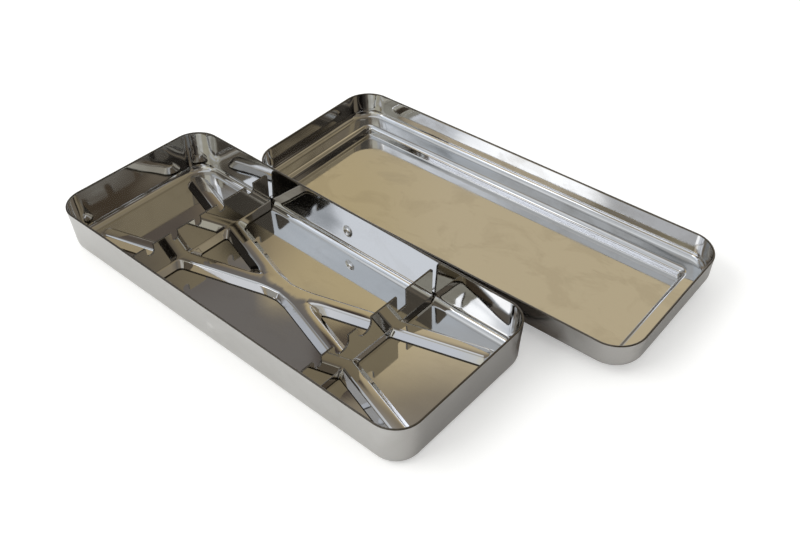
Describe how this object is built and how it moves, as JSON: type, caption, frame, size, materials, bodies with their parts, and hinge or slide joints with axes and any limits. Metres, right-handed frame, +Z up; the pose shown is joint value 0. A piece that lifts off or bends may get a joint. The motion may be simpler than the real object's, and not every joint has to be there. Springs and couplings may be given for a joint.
{
  "type": "dental instrument cassette",
  "caption": "Shallow polished steel tray holding a loose stamped rack with notched combs for hand instruments, with its stepped lid lying open beside it.",
  "frame": {"origin": "middle of the tray's flat underside, on the table", "axes": "+X along the tray's length, +Y across it towards the lid, +Z up out of the tray"},
  "size_m": [0.2135, 0.1531, 0.0196],
  "materials": {
    "tray_steel": "mirror-polished stainless sheet, lightly scratched",
    "rack_steel": "polished stainless sheet, stamped",
    "comb_steel": "polished stainless sheet, punched edges",
    "lid_steel": "mirror-polished stainless sheet, cloudy handling marks on the panel"
  },
  "bodies": {
    "tray": {"tray": "tray_steel"},
    "rack": {"rack_frame": "rack_steel", "rack_comb_left": "comb_steel", "rack_comb_right": "comb_steel"},
    "lid": {"lid": "lid_steel"}
  },
  "joints": [
    {"name": "rack_lift", "type": "slide", "parent": "tray", "child": "rack", "axis": [0, 0, 1], "range_m": [0, 0.03]},
    {"name": "lid_lift", "type": "slide", "parent": "tray", "child": "lid", "axis": [0, 0, 1], "range_m": [0, 0.06]}
  ]
}
